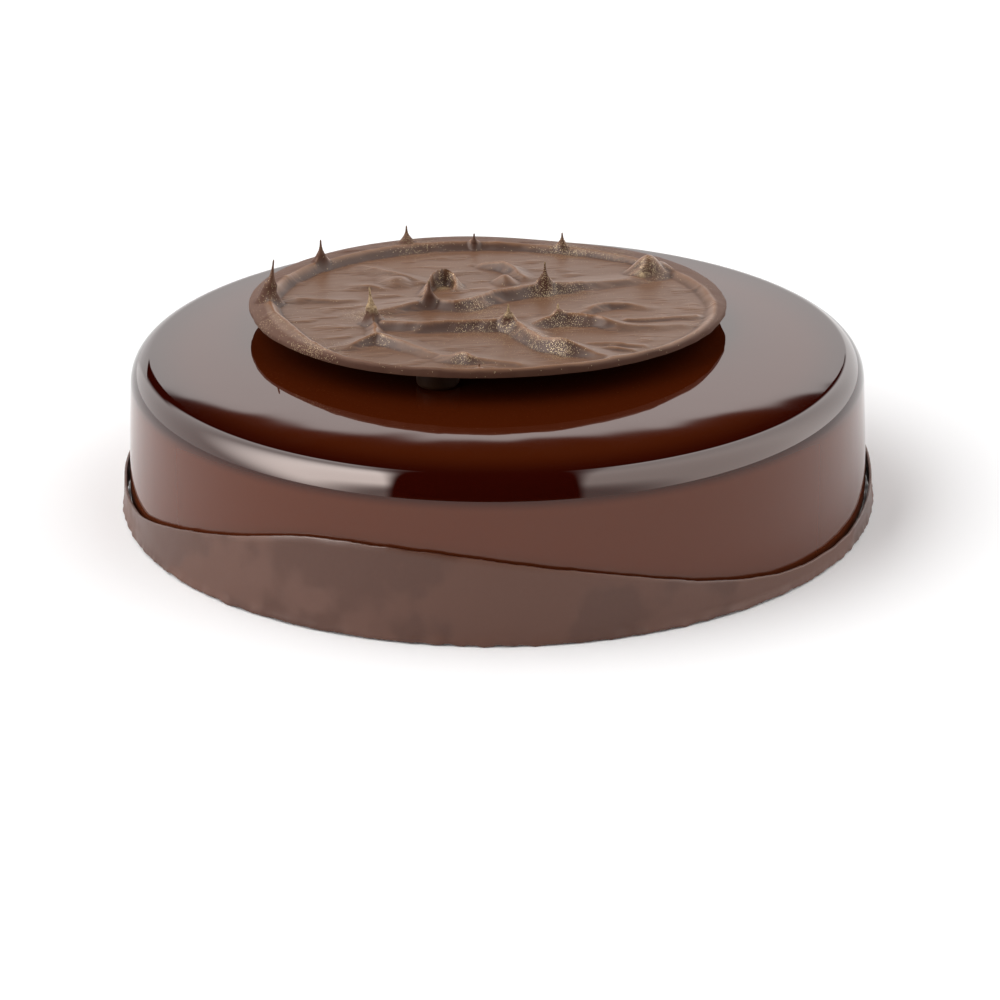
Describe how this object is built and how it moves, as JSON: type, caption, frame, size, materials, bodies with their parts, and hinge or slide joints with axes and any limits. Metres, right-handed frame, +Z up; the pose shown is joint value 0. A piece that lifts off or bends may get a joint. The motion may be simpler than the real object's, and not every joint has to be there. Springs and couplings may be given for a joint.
{
  "type": "chocolate cake",
  "caption": "Low round chocolate cake with a mirror glaze, a thin chocolate collar round its foot and a spiked chocolate disc on top.",
  "frame": {"origin": "centre of the cake's foot, on the surface it stands on", "axes": "+Z up, out of the top of the cake; -Y towards the front, where the collar is tall and the disc is lifted"},
  "size_m": [0.2064, 0.2064, 0.0607],
  "materials": {
    "mirror_glaze": "dark brown mirror glaze, very glossy",
    "collar_chocolate": "satin milk-brown chocolate, slightly blotched",
    "disc_chocolate": "satin chocolate with dusted gold on the peaks",
    "dab_chocolate": "dark chocolate"
  },
  "bodies": {
    "root": {"cake_body": "mirror_glaze", "chocolate_collar": "collar_chocolate", "chocolate_disc": "disc_chocolate", "dab_front": "dab_chocolate", "dab_left": "dab_chocolate", "dab_right": "dab_chocolate"}
  },
  "joints": []
}
